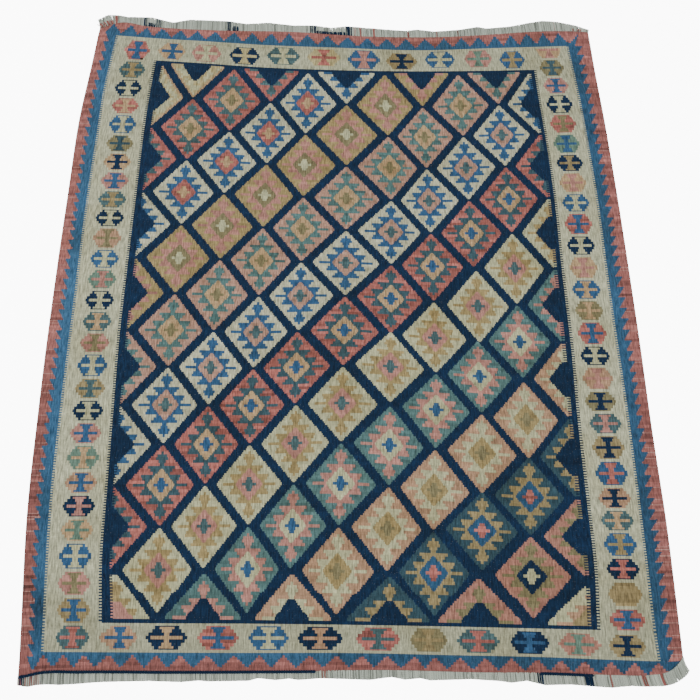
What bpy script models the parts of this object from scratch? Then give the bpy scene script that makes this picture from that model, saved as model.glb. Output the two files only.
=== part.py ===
"""A flat-woven kilim rug lying open on the floor, in metres, +Z up.

The pieces are the ones that its maker works: the woven cloth, the warp ends left as a short fringe at the
near and the far end, and the two runs of twined navy yarn that lock the last weft at the near end. X runs across
the rug and Y along its warps, from the near end to the far end. The origin is at the middle of the underside of
the whole rug.
"""

import bmesh
import bpy
import numpy as np

# Driving sizes.
MM = 0.001
CLOTH_THICKNESS = 3.0 * MM
GAP = 0.3 * MM
FRINGE_STRANDS = 120
STRIP_WIDTH = 6.0 * MM
STRIP_THICKNESS = 1.4 * MM
SIDE_STEPS = 22
END_CORD_RADIUS = 1.0 * MM
END_CORD_STEP = 14.0 * MM
SEED = 17

# The selvedges, from the near corner to the far one: where each lies at a share of the rug's length.
SIDE_COLUMNS = ("share", "left_mm", "right_mm")
SIDES = (
    (0.00, -735, 763),
    (0.08, -748, 768),
    (0.20, -765, 773),
    (0.34, -772, 772),
    (0.50, -776, 775),
    (0.67, -774, 774),
    (0.81, -771, 770),
    (0.92, -756, 763),
    (1.00, -747, 760),
)

# The two woven ends, from the left to the right: where each lies at a place across the rug.
END_COLUMNS = ("across_mm", "near_mm", "far_mm")
ENDS = (
    (-750, -900, 892),
    (-690, -899, 915),
    (-600, -898, 902),
    (-400, -897, 890),
    (-150, -898, 885),
    (100, -900, 872),
    (300, -904, 874),
    (450, -906, 884),
    (600, -906, 899),
    (700, -901, 903),
    (765, -889, 898),
)

# The fringes: a strand's mean length, the slow wave in it and its random part, then how far its tip leans
# across, the random part of that and the flare at the right corner.
FRINGE_COLUMNS = ("end", "outward", "length_mm", "wave_mm", "uneven_mm", "lean_mm", "scatter_mm", "flare_mm")
FRINGES = (
    ("near", -1, 19.0, 2.0, 4.0, 1.5, 2.0, 7.0),
    ("far", 1, 26.0, 4.0, 5.0, -1.0, 2.0, 2.0),
)
FRINGE_WAVES = 2.6

# The twined yarn at the near end, as runs across the rug.
END_CORD_COLUMNS = ("name", "from_mm", "to_mm")
END_CORDS = (
    ("end_cord_long", -733, -76),
    ("end_cord_short", 433, 552),
)

# The share of its root's width and height that a strand keeps at its middle and at its tip.
STRAND_SHARES = ((0.55, 0.85, 0.95), (1.0, 0.5, 0.75))

# The colours that the yarns give each piece, as linear red, green and blue.
WOOL_COLOUR = (0.20, 0.17, 0.15)
WARP_COLOUR = (0.62, 0.57, 0.46)
NAVY_COLOUR = (0.012, 0.028, 0.075)
WOOL_ROUGHNESS = 0.9


def column(columns, rows, name):
    """One named column of a table, in metres where its name ends in mm."""
    values = np.array([row[columns.index(name)] for row in rows], float)
    return values * MM if name.endswith("_mm") else values


def smooth(at, knots, values):
    """A curve through a table's points: a cubic between each two, with slopes that come from their neighbours."""
    slope = np.gradient(values, knots)
    low = np.clip(np.searchsorted(knots, at) - 1, 0, len(knots) - 2)
    step = knots[low + 1] - knots[low]
    t = (at - knots[low]) / step
    rise = 3 * t**2 - 2 * t**3
    start = (t**3 - 2 * t**2 + t) * step * slope[low]
    finish = (t**3 - t**2) * step * slope[low + 1]
    return (1 - rise) * values[low] + rise * values[low + 1] + start + finish


def side_x(side, share):
    """How far across the left or right selvedge lies, at a share of the rug's length."""
    return smooth(share, column(SIDE_COLUMNS, SIDES, "share"), column(SIDE_COLUMNS, SIDES, side + "_mm"))


def end_y(end, across):
    """How far along the near or far woven end lies, at a place across."""
    return smooth(across, column(END_COLUMNS, ENDS, "across_mm"), column(END_COLUMNS, ENDS, end + "_mm"))


def end_line(end, count):
    """Points along one woven end, from its left corner to its right one."""
    corner = 0.0 if end == "near" else 1.0
    across = np.linspace(side_x("left", corner), side_x("right", corner), count)
    return np.column_stack([across, end_y(end, across)])


def side_line(side, count):
    """Points along one selvedge, from its near corner to its far one."""
    share = np.linspace(0.0, 1.0, count)
    near = end_y("near", side_x(side, 0.0))
    far = end_y("far", side_x(side, 1.0))
    return np.column_stack([side_x(side, share), near + (far - near) * share])


def end_points():
    """How many points an end line has: two for each strand's root and two more for its corners."""
    return 2 * FRINGE_STRANDS + 2


def moved_out(line, outward, distance):
    """An end line moved square to itself, away from the cloth."""
    run = np.gradient(line, axis=0)
    square = np.column_stack([-run[:, 1], run[:, 0]]) / np.linalg.norm(run, axis=1)[:, None]
    return line + square * outward * distance


def yarn(name, colour):
    """Dull wool or cotton yarn of one colour."""
    material = bpy.data.materials.new(name)
    material.use_nodes = True
    shader = material.node_tree.nodes["Principled BSDF"]
    shader.inputs["Base Color"].default_value = (*colour, 1.0)
    shader.inputs["Roughness"].default_value = WOOL_ROUGHNESS
    shader.inputs["Metallic"].default_value = 0.0
    return material


def placed(name, data, material, rug, collection):
    """A named object with its material, parented to the rug's empty."""
    made = bpy.data.objects.new(name, data)
    data.materials.append(material)
    made.parent = rug
    collection.objects.link(made)
    return made


def poly_curve(name, points, cyclic):
    """A curve data block with one straight-segment spline through the points."""
    curve = bpy.data.curves.new(name, "CURVE")
    spline = curve.splines.new("POLY")
    spline.points.add(len(points) - 1)
    for knot, point in zip(spline.points, points):
        knot.co = (*point, 1.0)
    spline.use_cyclic_u = cyclic
    return curve


def cloth_data():
    """The woven cloth: its uneven outline as a flat filled curve, with half its thickness on each side."""
    near, far = end_line("near", end_points()), end_line("far", end_points())
    left, right = side_line("left", SIDE_STEPS), side_line("right", SIDE_STEPS)
    outline = np.concatenate([near[:-1], right[:-1], far[:0:-1], left[:0:-1]])
    curve = poly_curve("kilim_cloth", np.column_stack([outline, np.zeros(len(outline))]), True)
    curve.dimensions = "2D"
    curve.fill_mode = "BOTH"
    curve.extrude = CLOTH_THICKNESS / 2
    return curve


def strand_shape(fringe, count, rng):
    """For each strand of a fringe, its length and how far its tip leans across.

    The length is the mean with a slow wave and a random part. The lean is a steady part, a random part and, at
    the right corner, a flare that grows with the fourth power of the place across the rug.
    """
    row = dict(zip(FRINGE_COLUMNS, fringe))
    place = np.linspace(0.0, 1.0, count)
    wave = row["wave_mm"] * np.sin(2.0 * np.pi * FRINGE_WAVES * place)
    uneven = row["uneven_mm"] * rng.uniform(-1.0, 1.0, count)
    scatter = row["scatter_mm"] * rng.uniform(-1.0, 1.0, count)
    lean = row["lean_mm"] + scatter + row["flare_mm"] * place**4
    return (row["length_mm"] + wave + uneven) * MM, lean * MM


def fringe_data(fringe):
    """One fringe: a narrow strip along the cloth's end with the strands drawn out of its outer edge.

    The strip is a grid laid along the end and given its thickness. Every second face of its outer edge is a
    strand's root, drawn out twice: to the strand's middle and to its tip, narrower and lower each time, with its
    underside kept level on the floor.
    """
    row = dict(zip(FRINGE_COLUMNS, fringe))
    outward, name = row["outward"], "fringe_" + row["end"]
    line = end_line(row["end"], end_points())
    inner = moved_out(line, outward, GAP)
    outer = moved_out(line, outward, GAP + STRIP_WIDTH)
    bm = bmesh.new()
    segments = len(line) - 1
    bmesh.ops.create_grid(bm, x_segments=segments, y_segments=1, size=0.5)
    for vert in bm.verts:
        at = round((vert.co.x + 0.5) * segments)
        vert.co = (*(outer if vert.co.y > 0 else inner)[at], 0.0)
    raised = bmesh.ops.extrude_face_region(bm, geom=bm.faces[:])
    top = [item for item in raised["geom"] if isinstance(item, bmesh.types.BMVert)]
    bmesh.ops.translate(bm, verts=top, vec=(0.0, 0.0, STRIP_THICKNESS))
    bmesh.ops.recalc_face_normals(bm, faces=bm.faces[:])
    outer_edge = [face for face in bm.faces if face.normal.y * outward > 0.5]
    outer_edge.sort(key=lambda face: face.calc_center_median().x)
    roots = outer_edge[1::2]
    lengths, leans = strand_shape(fringe, len(roots), np.random.default_rng(SEED + outward))
    draw_strands(bm, roots, outward, lengths, leans)
    bmesh.ops.recalc_face_normals(bm, faces=bm.faces[:])
    mesh = bpy.data.meshes.new(name)
    bm.to_mesh(mesh)
    bm.free()
    return mesh


def draw_strands(bm, roots, outward, lengths, leans):
    """Draws each root face out to a strand, one stretch for each row of the strands' shares."""
    starts = [face.calc_center_median().copy() for face in roots]
    widths = [max(v.co.x for v in face.verts) - min(v.co.x for v in face.verts) for face in roots]
    ends = roots
    for along, width_share, height_share in STRAND_SHARES:
        ends = bmesh.ops.extrude_discrete_faces(bm, faces=ends)["faces"]
        ends.sort(key=lambda face: face.calc_center_median().x)
        for face, start, width, length, lean in zip(ends, starts, widths, lengths, leans):
            centre_x = start.x + lean * along**2
            centre_y = start.y + outward * length * along
            middle = face.calc_center_median()
            for vert in face.verts:
                side = 1.0 if vert.co.x > middle.x else -1.0
                high = vert.co.z > middle.z
                vert.co.x = centre_x + side * width * width_share / 2
                vert.co.y = centre_y
                vert.co.z = STRIP_THICKNESS * height_share if high else 0.0


def end_cord_data(row):
    """A run of twined yarn lying on the near fringe's strip, as a round cord."""
    name, start, finish = row
    count = round((finish - start) * MM / END_CORD_STEP) + 1
    across = np.linspace(start * MM, finish * MM, count)
    line = moved_out(np.column_stack([across, end_y("near", across)]), -1, GAP + STRIP_WIDTH / 2)
    height = np.full(count, STRIP_THICKNESS + GAP + END_CORD_RADIUS)
    curve = poly_curve(name, np.column_stack([line, height]), False)
    curve.dimensions = "3D"
    curve.bevel_depth = END_CORD_RADIUS
    curve.bevel_resolution = 1
    curve.use_fill_caps = True
    return curve


def lowest_and_highest(objects):
    """The corners of the box around some objects, before they are centred."""
    depsgraph = bpy.context.evaluated_depsgraph_get()
    points = []
    for item in objects:
        shown = item.evaluated_get(depsgraph)
        mesh = shown.to_mesh()
        points += [item.matrix_world @ vert.co for vert in mesh.vertices]
        shown.to_mesh_clear()
    points = np.array(points)
    return points.min(axis=0), points.max(axis=0)


def main():
    for item in list(bpy.data.objects):
        bpy.data.objects.remove(item)
    collection = bpy.data.collections.new("kilim_rug")
    bpy.context.scene.collection.children.link(collection)
    rug = bpy.data.objects.new("kilim_rug", None)
    collection.objects.link(rug)
    wool = yarn("woven wool", WOOL_COLOUR)
    warp = yarn("warp yarn", WARP_COLOUR)
    navy = yarn("navy yarn", NAVY_COLOUR)
    cloth = placed("kilim_cloth", cloth_data(), wool, rug, collection)
    cloth.location.z = CLOTH_THICKNESS / 2
    pieces = [cloth]
    for fringe in FRINGES:
        pieces.append(placed("fringe_" + fringe[0], fringe_data(fringe), warp, rug, collection))
    for row in END_CORDS:
        pieces.append(placed(row[0], end_cord_data(row), navy, rug, collection))
    bpy.context.view_layer.update()
    low, high = lowest_and_highest(pieces)
    rug.location = (-(low[0] + high[0]) / 2, -(low[1] + high[1]) / 2, -low[2])
    bpy.context.view_layer.update()


main()
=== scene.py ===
"""A flat-woven kilim rug on a studio floor, laid out as an add-on and run as a script.

The rug is woven here as its maker wove it. The draft says which yarn fills each cell, one warp wide and one
row high, and comes from counts: bands, stepped diamonds, hexagons and saw teeth. The lay says where the
warps and the rows lie on the floor, which is never quite straight in hand work. Warp ends hang out of the
two woven ends as fringes, and twined yarn locks the last row at the near end.

Places and sizes are in millimetres, if nothing else is said, in the rug's own plan with X across the rug
and Y along its warps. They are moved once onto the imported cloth.
"""

import math

import bpy
import numpy as np
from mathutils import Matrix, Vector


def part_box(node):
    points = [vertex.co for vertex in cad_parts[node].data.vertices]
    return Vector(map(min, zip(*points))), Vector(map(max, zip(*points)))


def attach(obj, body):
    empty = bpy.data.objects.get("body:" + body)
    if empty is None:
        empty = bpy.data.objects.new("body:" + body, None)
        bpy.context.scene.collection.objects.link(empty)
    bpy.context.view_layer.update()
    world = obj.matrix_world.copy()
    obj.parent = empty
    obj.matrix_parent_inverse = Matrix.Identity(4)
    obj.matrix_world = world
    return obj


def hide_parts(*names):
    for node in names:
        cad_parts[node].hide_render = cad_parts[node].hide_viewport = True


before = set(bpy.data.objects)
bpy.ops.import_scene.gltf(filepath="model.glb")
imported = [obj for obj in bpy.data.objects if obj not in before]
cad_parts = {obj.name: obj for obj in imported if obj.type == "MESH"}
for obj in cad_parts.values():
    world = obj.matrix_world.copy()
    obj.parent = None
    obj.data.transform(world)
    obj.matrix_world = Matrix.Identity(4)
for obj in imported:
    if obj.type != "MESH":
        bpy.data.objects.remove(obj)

bl_info = {
    "name": "Kilim Rug",
    "version": (1, 0, 0),
    "blender": (4, 5, 0),
    "location": "View3D > Sidebar > Kilim",
    "description": "Weaves a kilim rug cell by cell and frays its ends, on a studio floor",
    "category": "Add Mesh",
}

MM = 0.001
SEED = 11

# --- The draft, in rows and warps ---

# The bands from the near end, and those from the left.
WEFT_BANDS = (
    ("near_guard", 6), ("near_border", 9), ("near_frame", 1), ("field", 211),
    ("far_frame", 1), ("far_border", 12), ("far_guard", 6),
)
WARP_BANDS = (
    ("left_guard", 20), ("left_border", 40), ("left_frame", 6), ("field", 370),
    ("right_frame", 6), ("right_border", 40), ("right_guard", 20),
)

# The lattice of diamonds: the step from a diamond to the next one that touches its corner.
LATTICE_WARPS = 37
LATTICE_ROWS = 14
STEPS_ALONG = 15
STEPS_ACROSS = 10

# One diamond, as half-widths in warps row by row from its middle row outwards.
GROUND = (27, 25, 23, 21, 19, 17, 15, 13, 11, 9, 7, 5, 3, 1)
FIGURE = (22, 13, 15, 16, 7, 9, 11, 2, 3, 5, 4, 1)
INNER = (11, 9, 7, 5, 3, 1)
CENTRE = (6, 3, 2)
NOTCH = (14, 12, 10, 8, 6, 4, 2)

# The same for the half diamonds at the near end, which are wider and lower.
NEAR_GROUND = (31, 29, 26, 24, 22, 19, 17, 14, 12, 9, 7, 4, 2)
NEAR_FIGURE = (25, 14, 16, 18, 10, 12, 2, 3, 5, 4, 1)
NEAR_NOTCH = (14, 12, 9, 7, 5, 3)

# The last whole diamonds before the near end leave out one row, the next one below this one.
NEAR_SHORTENED = -6

# The yarns of a diamond. Those on one rising diagonal are alike, and the diagonals are listed from the far
# left, after one without a figure.
DIAMOND_COLUMNS = ("ground", "figure", "inner", "centre")
DIAMONDS = (
    "red teal tan olive",
    "cool_cream blue red tan",
    "light_ochre pink olive cream",
    "dusty_salmon light_teal tan olive",
    "cool_cream blue dusty_salmon teal",
    "red dark_teal tan blue",
    "cream light_ochre pink teal",
    "light_teal pink cream blue",
    "salmon cream light_ochre olive",
    "slate ochre deep_blue red",
    "rose olive navy cream",
    "cream salmon ochre ochre",
)

# Diamonds that sit off their place in the lattice: by steps from the far end and from the left, the warps
# and the rows by which one is moved.
NUDGES = {
    (7, 8): (2, -1), (9, 4): (-1, 0), (9, 6): (0, 1), (10, 9): (0, -1), (13, 8): (0, 1), (15, 0): (5, -1),
    (15, 2): (1, 0), (15, 4): (2, 0), (15, 6): (2, 0), (15, 8): (-3, 0), (15, 10): (4, 0),
}

# A diamond's edge takes three steps in two rows. An even or an odd number of rows from the middle, so many
# warps outside the half-width carry the diamond's yarn for such a share of the row.
EVEN_STEP, ODD_STEP = (2, 1 / 3), (1, 2 / 3)

# Odd picks of sand in the plain cream diamonds.
ODD_PICK_WARPS = 3
ODD_PICK_SHARE = 0.4

# The border's hexagons, as shares of the half-width at their middle: the half-widths of a hexagon's ends,
# of the bar of the cross in it, of the cross's ends and of its neck.
HEXAGON_SHARES = {"end": 0.60, "bar": 0.765, "arm": 0.375, "neck": 0.13}

# How far a hexagon's flanks fall back from its points, in warps.
POINT_WARPS = 0.4

# In a hexagon with more rows than this in half its height, half a cross's bar is so many rows high.
HIGH_HEXAGON = 4
THICK_BAR = 0.75

# The share of a cell that the line across the ends of a cross takes.
END_LINE = 0.34

# The hexagons along the two ends, by first row and the row after the last: the yarns of hexagon and cross,
# the middle warp and the half-width in warps.
END_HEXAGONS = {
    (7, 14): (
        ("teal/red", 41, 12.4), ("salmon/blue", 74, 14.0), ("navy/tan", 112, 16.6), ("red/blue", 154, 16.8),
        ("blue/cream", 197, 18.0), ("navy/salmon", 239, 17.2), ("red/teal", 282, 16.2),
        ("olive/ochre", 320, 14.5), ("teal/red", 357, 15.6), ("navy/blue", 395, 14.5),
        ("rose/sage", 429, 13.6), ("ochre/navy", 461, 12.9),
    ),
    (228, 238): (("red/blue", 42, 11.9),),
    (229, 238): (
        ("tan/blue", 75, 14.0), ("pink/cream", 111, 15.0), ("navy/sand", 149, 15.2),
        ("ochre/navy", 306, 16.0), ("blue/ochre", 420, 14.1),
    ),
    (229, 239): (("blue/pink", 268, 15.6),),
    (230, 239): (
        ("teal/cream", 188, 17.2), ("sand/red", 229, 16.0), ("blue/cream", 345, 15.4),
        ("pink/sage", 384, 14.5),
    ),
}

# The near half of a hexagon in the far right corner: its yarns, middle warp, half-width, first row and the
# row after the last.
HALF_HEXAGON = ("tan/pink", 460, 14.4, 234, 239)

# The hexagons up the two sides: their yarns from the near end, their half-width, and where they come, as the
# one in hand and the empty row before it, and the one in hand and its middle warp.
SIDE_HEXAGONS = (
    (
        "ochre/blue pink/olive blue/cream tan/sage navy/pink salmon/blue sage/tan pink/blue navy/cream "
        "ochre/teal blue/cream pink/olive teal/tan navy/cream sage/pink blue/cream salmon/olive navy/cream "
        "teal/ochre pink/blue tan/navy olive/slate blue/cream red/tan navy/cream teal/ochre",
        12.3,
        ((0, 14), (13, 121), (26, 227)),
        ((0, 41),),
    ),
    (
        "red/blue ochre/ochre navy/red blue/ochre teal/tan salmon/navy blue/red ochre/navy teal/pink "
        "olive/navy salmon/pink navy/cream red/blue olive/tan blue/tan tan/pink navy/cream red/blue "
        "blue/cream tan/pink navy/ochre sage/blue red/olive navy/cream pink/blue olive/dark_teal",
        13.5,
        ((0, 14), (1, 21), (3, 37), (11, 105), (19, 172), (26, 233)),
        ((0, 463), (8, 463), (9, 461), (24, 461), (25, 460)),
    ),
)

# The guard bands step by the pick and not by the row.
PICKS = 5

# Their red saw teeth along the sides. A tooth's flat edge faces the near end, and its width falls from there
# to the next tooth: both widths in warps, and where teeth come, as the one in hand and its flat edge's row.
TEETH = {
    "left": (
        (12.3, 6.5),
        (
            (0, 0.8), (1, 4.8), (6, 24.2), (9, 35.3), (18, 72.2), (26, 103.9), (29, 114.2), (37, 145.2),
            (49, 193.4), (57, 227.2), (58, 231.9), (59, 237.0), (60, 242.4), (61, 248.0),
        ),
    ),
    "right": (
        (13.2, 6.5),
        (
            (0, 5.6), (12, 50.8), (19, 78.1), (21, 87.4), (37, 151.6), (40, 162.6), (48, 198.3), (55, 230.7),
            (56, 235.6), (57, 240.1), (58, 246.5),
        ),
    ),
}

# The red's width in the far left corner, at a row.
LEFT_CORNER_STEPS = ((242.3, 7.0), (245.6, 13.0))

# Their zigzags of red and blue along the ends: the row of the tips, the rows of the valleys at a warp, and
# where the tips come, as the one in hand and its warp.
ZIGZAGS = {
    "near": (
        5.2,
        ((0, 1.2), (340, 1.1), (420, 0.7), (455, 0.6), (485, 0.0)),
        (
            (0, 20.8), (2, 49.7), (3, 65.9), (6, 123.7), (10, 211.0), (12, 252.0), (14, 288.5), (15, 309.5),
            (16, 323.9), (18, 361.6), (20, 400.2), (25, 480.7),
        ),
    ),
    "far": (
        245.2,
        ((0, 241.0),),
        ((0, 15), (1, 32), (3, 61.5), (10, 192.9), (18, 351.0), (25, 474.6), (26, 494.5)),
    ),
}

# How many warps a zigzag's step takes, and over how many the yarns are dovetailed at an upright edge.
STEP_WARPS = 2
DOVETAIL_WARPS = 2

# How likely a pick of the guard's red is pale, at a row.
PALE_PICKS = ((0, 0.13), (90, 0.11), (200, 0.02))

# --- The dye, and some painted shade ---

# How far a pick's shade strays for each yarn, most for the streaky reds, and how far a dye lot's.
PICK_SPREAD = {
    "guard_red": 0.17, "guard_blue": 0.03, "border_cream": 0.02, "red": 0.2, "pink": 0.09, "salmon": 0.07,
    "dusty_salmon": 0.07, "ochre": 0.07, "light_ochre": 0.07, "teal": 0.09, "light_teal": 0.12,
}
USUAL_PICK_SPREAD = 0.045
LOT_SPREAD = {"guard_blue": 0.07, "guard_red": 0.06, "border_cream": 0.02}
USUAL_LOT_SPREAD = 0.03
LOT_ROWS = 8

# Dye lots that show, and painted shade: a row, and how light the yarn is there in the rug's left and
# right half.
DYE_LOTS_AND_PAINTED_SHADE = {
    "guard_red": (
        (0, 0.93, 0.95), (20, 0.85, 0.86), (42, 0.84, 0.96), (65, 0.76, 0.97), (88, 0.97, 1.02),
        (125, 1.10, 1.04), (150, 1.00, 0.98), (200, 1.02, 0.96), (246, 1.08, 1.04),
    ),
    "guard_blue": (
        (0, 1.00, 0.75), (6, 1.00, 0.75), (12, 0.68, 0.80), (20, 0.52, 0.75), (26, 1.00, 0.68),
        (50, 0.96, 0.74), (72, 1.12, 0.82), (100, 1.12, 0.88), (140, 1.25, 0.90), (146, 1.05, 0.80),
        (165, 1.13, 0.85), (205, 1.10, 0.85), (216, 1.20, 0.83), (232, 1.00, 0.85), (246, 0.90, 0.95),
    ),
    # The border's cream is partly dye and partly painted shade, darker towards the near and the far end.
    "border_cream": (
        (6, 0.84, 0.84), (15, 0.84, 0.84), (24, 0.93, 0.93), (60, 1.04, 1.04), (90, 1.06, 1.06),
        (140, 1.04, 1.04), (180, 1.02, 1.02), (205, 0.95, 0.95), (241, 0.93, 0.93),
    ),
}

# --- The lay ---

# Where the selvedges lie at a share of the rug's length, and the two woven ends at a place across it.
SIDE_COLUMNS = ("share", "left", "right")
SIDES = (
    (0.00, -735, 763), (0.08, -748, 768), (0.20, -765, 773), (0.34, -772, 772), (0.50, -776, 775),
    (0.67, -774, 774), (0.81, -771, 770), (0.92, -756, 763), (1.00, -747, 760),
)
END_COLUMNS = ("across", "near", "far")
ENDS = (
    (-750, -903, 892), (-720, -899, 905), (-690, -893, 915), (-600, -892, 902), (-400, -895, 890),
    (-150, -897, 885), (100, -899, 872), (300, -906, 874), (450, -908, 884), (600, -915, 899),
    (680, -916, 902), (735, -907, 901), (765, -886, 898),
)

# How far across some warps lie at places along the rug: three edges of bands, the middles of seven
# diamonds, and three more edges.
WARP_COLUMNS = ("along", 20, 60, 66, 103, 177, 214, 251, 288, 325, 399, 436, 442, 482)
WARP_LINES = (
    (-880, -687, -562, -538, -437, -232, -140, -31, 84, 197, 424, 546, 573, 709),
    (-787, -694, -568, -544, -439, -234, -139, -29, 88, 198, 427, 552, 579, 707),
    (-685, -702, -578, -556, -443, -236, -137, -27, 91, 200, 431, 559, 587, 709),
    (-488, -713, -584, -567, -452, -240, -132, -18, 100, 210, 445, 559, 589, 712),
    (-286, -716, -589, -571, -457, -243, -129, -14, 109, 226, 455, 562, 589, 714),
    (-90, -717, -593, -573, -458, -237, -126, -6, 116, 232, 455, 566, 594, 712),
    (113, -718, -591, -570, -452, -230, -122, -1, 123, 235, 460, 568, 593, 712),
    (311, -717, -587, -568, -454, -227, -119, 2, 128, 234, 462, 573, 595, 713),
    (520, -712, -584, -563, -449, -222, -115, 4, 125, 231, 459, 570, 589, 707),
    (629, -710, -579, -557, -448, -219, -111, 5, 121, 230, 457, 563, 583, 702),
    (755, -699, -570, -546, -444, -217, -110, 6, 120, 230, 454, 557, 579, 693),
    (850, -690, -564, -540, -440, -216, -110, 6, 119, 229, 451, 554, 576, 685),
    (900, -686, -560, -536, -438, -215, -110, 6, 118, 228, 450, 552, 574, 681),
)

# How far along some rows lie at places across the rug.
WEFT_COLUMNS = ("row", -690, -560, -445, -236, 0, 232, 455, 580, 690)
WEFT_LINES = (
    (6, -851, -853, -855, -858, -861, -868, -875, -881, -886),
    (7, -846, -847, -849, -852, -855, -862, -869, -875, -880),
    (14, -796, -798, -799, -802, -807, -813, -822, -828, -832),
    (15, -790, -792, -794, -797, -802, -808, -815, -819, -822),
    (16, -781, -783, -785, -789, -794, -800, -807, -811, -814),
    (30.5, -677, -678, -679, -678, -686, -692, -701, -704, -707),
    (58.5, -484, -484, -484, -483, -483, -502, -519, -522, -523),
    (86.5, -285, -285, -285, -288, -282, -300, -319, -322, -323),
    (114.5, -84, -85, -86, -92, -86, -108, -119, -121, -122),
    (142.5, 127, 124, 121, 114, 108, 98, 92, 91, 91),
    (170.5, 329, 326, 323, 316, 306, 299, 307, 310, 312),
    (198.5, 544, 541, 535, 519, 517, 510, 519, 523, 527),
    (212.5, 649, 645, 639, 628, 621, 615, 625, 629, 633),
    (227, 770, 765, 759, 743, 736, 737, 741, 745, 748),
    (228, 779, 773, 766, 751, 744, 744, 748, 752, 755),
    (240, 865, 855, 848, 834, 827, 822, 832, 838, 844),
)

# The cloth's slow waves: how far it is across and along to the next radian of each, and where it starts.
WAVES = ((97, 310, 0.0), (-240, 71, 1.3), (133, 133, 4.0))

# --- The fringes ---

# Which way a fringe runs out, the random share of a strand's length, how far its tip leans across and the
# random part of that.
FRINGE_COLUMNS = ("end", "outward", "uneven", "lean", "scatter")
FRINGES = (
    ("near", -1, 0.02, 1.0, 0.5),
    ("far", 1, 0.03, -1.0, 0.9),
)

# How long the fringes are, how far their tips flare and how far over the cloth they start, each at places
# across the rug.
LENGTHS = {
    "near": (
        (-745, 13), (-713, 23), (-645, 27), (-555, 21), (-445, 18), (-375, 20), (-335, 17), (-315, 19),
        (-225, 18), (-205, 13), (-165, 17), (-135, 14), (-115, 17), (-65, 14), (45, 18), (95, 12), (125, 17),
        (160, 13), (180, 17), (275, 12), (335, 15), (365, 19), (400, 15), (440, 24), (500, 21), (590, 24),
        (635, 19), (700, 22), (735, 23), (755, 26), (763, 28),
    ),
    "far": (
        (-750, 30), (-720, 39), (-690, 27), (-666, 20), (-595, 36), (-526, 22), (-475, 36), (-360, 37),
        (-300, 28), (-234, 34), (-156, 26), (-90, 30), (-40, 25), (9, 35), (91, 31), (190, 24), (226, 29),
        (279, 21), (360, 25), (414, 33), (441, 25), (519, 26), (621, 40), (669, 35), (700, 27), (722, 22),
        (745, 13), (760, 9),
    ),
}
FLARES = {
    "near": ((400, 0), (440, 1), (500, 2), (590, 3), (635, 4), (700, 6), (735, 9), (755, 12), (763, 11)),
    "far": (
        (-750, -10), (-720, -8), (-690, -3), (-666, 0), (669, 0), (700, 2), (722, 2), (745, 3), (760, 4),
    ),
}
OVERLAPS = {"near": ((700, 0), (735, 2), (755, 5), (763, 9)), "far": ((0, 0),)}

# Stretches of fringe where ends of the weaving yarns hang among the warps, with the share of the strands
# and how far they reach out of the fringe's length.
STRAY_COLUMNS = ("from", "to", "yarn", "share", "reach")
STRAYS = {
    "near": (
        (-740, -680, "red", 0.5, 1.0), (-740, -680, "navy", 0.15, 1.0), (-62, -48, "red", 0.4, 1.0),
        (425, 438, "navy", 0.8, 1.0), (532, 552, "navy", 0.85, 1.0), (588, 596, "red", 0.5, 1.0),
        (660, 672, "red", 0.7, 1.0), (705, 712, "red", 0.6, 1.0),
    ),
    "far": (
        (-745, -705, "red", 0.6, 0.4), (-702, -694, "red", 0.8, 1.0), (-615, -600, "navy", 0.7, 1.0),
        (-600, -575, "navy", 0.7, 0.4), (-580, -562, "navy", 0.7, 1.0), (-359, -340, "navy", 0.7, 1.0),
        (-345, -325, "navy", 0.7, 0.5), (-105, -86, "navy", 0.7, 1.0), (-86, 5, "navy", 0.8, 0.35),
        (5, 24, "navy", 0.7, 1.0), (28, 34, "red", 0.7, 1.0), (48, 54, "red", 0.7, 1.0),
        (89, 95, "red", 0.7, 1.0), (195, 200, "red", 0.7, 0.7), (284, 289, "red", 0.7, 1.0),
        (348, 354, "red", 0.7, 1.0), (653, 657, "red", 0.7, 1.0), (710, 735, "red", 0.5, 0.4),
    ),
}

# Strands darkened by painted shadow, where they lie deep between others: their share, and how light they
# are.
PAINTED_SHADOW_SHARE = 0.2
PAINTED_SHADOW = 0.42

# How far a yarn stays off the floor at least.
CLEARANCE = 0.05

# Twined yarn that locks the last row at the near end, as runs across the rug.
TWINE_COLUMNS = ("piece", "node", "from", "to")
TWINES = (
    ("end_twine_long", "end_cord_long", -733, -76),
    ("end_twine_short", "end_cord_short", 433, 552),
)

# --- The materials ---

# The noises laid on the weave: how wide and how high one is, its detail, the span of it that counts and its
# effect, a shade for the first three and a share for the others. A real warp of this cloth is about 3 mm
# wide and a pick 1 mm high, too fine for a picture of the whole rug, so ribs and streaks are drawn coarser.
NOISES = {
    "streaks": (26.0, 3.0, 3.0, (0.25, 0.75), (0.92, 1.08)),
    # The ribs' shade is partly random tone and partly painted highlight on the rib tops and painted shade in
    # the grooves.
    "ribs": (3.3, 24.0, 2.0, (0.25, 0.75), (0.45, 1.55)),
    "fuzz": (4.6, 4.6, 3.0, (0.25, 0.75), (0.82, 1.18)),
    "stain": (140.0, 140.0, 4.0, (0.45, 0.75), (0.0, 1.0)),
    "speck": (2.6, 2.6, 1.0, (0.68, 0.82), (0.0, 0.25)),
}

# What a stain leaves of the light, and the colour of bare warp.
STAIN = (0.80, 0.76, 0.68)
WORN = "c9c4b4"

# The height of the ribs' relief, and how strongly it shades.
RELIEF = 0.5
RELIEF_STRENGTH = 0.6

# The mean width of a warp and height of a row, which give the weave's own coordinates, and the height of
# the two picks after which a dovetail repeats.
WARP_WIDTH = 3.09
ROW_HEIGHT = 7.3
DOVETAIL_PITCH = 6.6

# A cell with a smaller share than this for its neighbour's line is a dovetail.
LEAST_LINE = 0.01

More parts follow.
